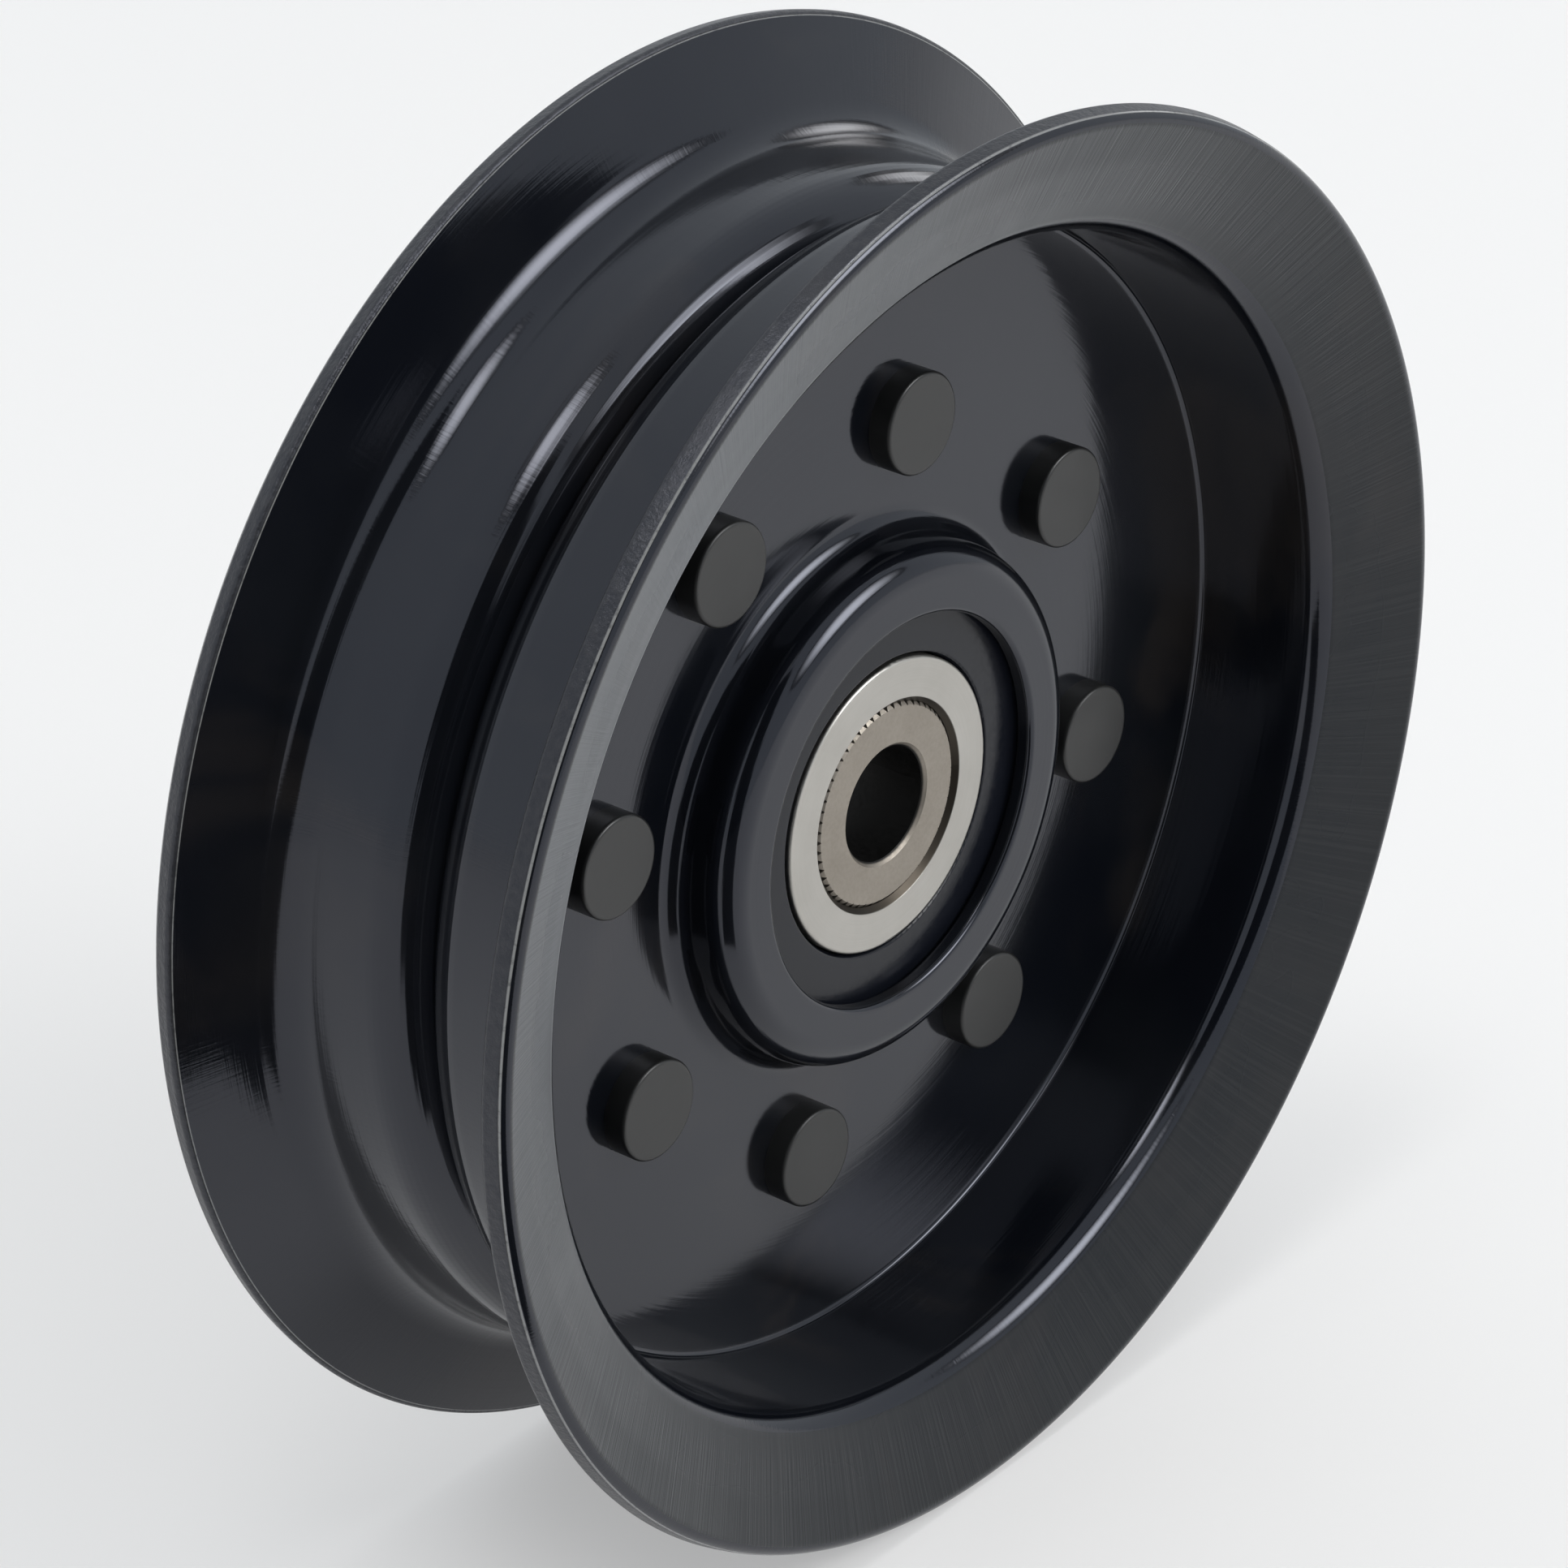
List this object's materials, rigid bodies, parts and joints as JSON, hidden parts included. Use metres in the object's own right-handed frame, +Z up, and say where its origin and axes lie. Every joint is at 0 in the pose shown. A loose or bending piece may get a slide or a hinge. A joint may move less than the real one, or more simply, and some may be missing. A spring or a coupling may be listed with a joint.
{
  "type": "flat idler pulley",
  "caption": "Double-flanged flat belt idler pulley: riveted stamped steel halves on a sealed ball bearing with a knurled bolt bushing.",
  "frame": {"origin": "centre of the pulley: on the spin axis, where the two webs meet and halfway along the bearing", "axes": "spin axis along Y, the pictured face towards -Y, +Z up"},
  "size_m": [0.1168, 0.0346, 0.1168],
  "materials": {
    "painted_shell": "dark charcoal gloss paint with light orange peel",
    "painted_rivet": "the same dark paint over flat rivet heads",
    "ground_steel": "ground satin bearing steel",
    "polished_ball": "polished",
    "pressed_cage": "pressed steel strip",
    "seal_rubber": "satin moulded nitrile",
    "seal_core": "plain steel washer",
    "bushing_steel": "bare beige-grey sintered look, straight knurl outside"
  },
  "bodies": {
    "mount": {"bushing": "bushing_steel", "bearing_inner_ring": "ground_steel"},
    "pulley": {"front_shell": "painted_shell", "rear_shell": "painted_shell", "rivet_1": "painted_rivet", "rivet_2": "painted_rivet", "rivet_3": "painted_rivet", "rivet_4": "painted_rivet", "rivet_5": "painted_rivet", "rivet_6": "painted_rivet", "rivet_7": "painted_rivet", "rivet_8": "painted_rivet", "bearing_outer_ring": "ground_steel", "seal_front_rubber": "seal_rubber", "seal_rear_rubber": "seal_rubber", "seal_front_core": "seal_core", "seal_rear_core": "seal_core"},
    "cage": {"cage_front": "pressed_cage", "cage_rear": "pressed_cage", "cage_rivet_1": "pressed_cage", "cage_rivet_2": "pressed_cage", "cage_rivet_3": "pressed_cage", "cage_rivet_4": "pressed_cage", "cage_rivet_5": "pressed_cage", "cage_rivet_6": "pressed_cage", "cage_rivet_7": "pressed_cage", "cage_rivet_8": "pressed_cage"},
    "ball_1": {"ball_1": "polished_ball"},
    "ball_2": {"ball_2": "polished_ball"},
    "ball_3": {"ball_3": "polished_ball"},
    "ball_4": {"ball_4": "polished_ball"},
    "ball_5": {"ball_5": "polished_ball"},
    "ball_6": {"ball_6": "polished_ball"},
    "ball_7": {"ball_7": "polished_ball"},
    "ball_8": {"ball_8": "polished_ball"}
  },
  "joints": [
    {"name": "pulley_spin", "type": "hinge", "parent": "mount", "child": "pulley", "pos_m": [0, 0, 0], "axis": [0, 1, 0], "continuous": true},
    {"name": "cage_spin", "type": "hinge", "parent": "mount", "child": "cage", "pos_m": [0, 0, 0], "axis": [0, 1, 0], "continuous": true},
    {"name": "ball_1_roll", "type": "hinge", "parent": "cage", "child": "ball_1", "pos_m": [0.01425, 0, 0], "axis": [0, 1, 0], "continuous": true},
    {"name": "ball_2_roll", "type": "hinge", "parent": "cage", "child": "ball_2", "pos_m": [0.01008, 0, 0.01008], "axis": [0, 1, 0], "continuous": true},
    {"name": "ball_3_roll", "type": "hinge", "parent": "cage", "child": "ball_3", "pos_m": [0, 0, 0.01425], "axis": [0, 1, 0], "continuous": true},
    {"name": "ball_4_roll", "type": "hinge", "parent": "cage", "child": "ball_4", "pos_m": [-0.01008, 0, 0.01008], "axis": [0, 1, 0], "continuous": true},
    {"name": "ball_5_roll", "type": "hinge", "parent": "cage", "child": "ball_5", "pos_m": [-0.01425, 0, 0], "axis": [0, 1, 0], "continuous": true},
    {"name": "ball_6_roll", "type": "hinge", "parent": "cage", "child": "ball_6", "pos_m": [-0.01008, 0, -0.01008], "axis": [0, 1, 0], "continuous": true},
    {"name": "ball_7_roll", "type": "hinge", "parent": "cage", "child": "ball_7", "pos_m": [0, 0, -0.01425], "axis": [0, 1, 0], "continuous": true},
    {"name": "ball_8_roll", "type": "hinge", "parent": "cage", "child": "ball_8", "pos_m": [0.01008, 0, -0.01008], "axis": [0, 1, 0], "continuous": true}
  ],
  "couplings": [
    {"joint": "cage_spin", "follows": "pulley_spin", "ratio": 0.6184},
    {"joint": "ball_1_roll", "follows": "pulley_spin", "ratio": 1.9937},
    {"joint": "ball_2_roll", "follows": "pulley_spin", "ratio": 1.9937},
    {"joint": "ball_3_roll", "follows": "pulley_spin", "ratio": 1.9937},
    {"joint": "ball_4_roll", "follows": "pulley_spin", "ratio": 1.9937},
    {"joint": "ball_5_roll", "follows": "pulley_spin", "ratio": 1.9937},
    {"joint": "ball_6_roll", "follows": "pulley_spin", "ratio": 1.9937},
    {"joint": "ball_7_roll", "follows": "pulley_spin", "ratio": 1.9937},
    {"joint": "ball_8_roll", "follows": "pulley_spin", "ratio": 1.9937}
  ]
}
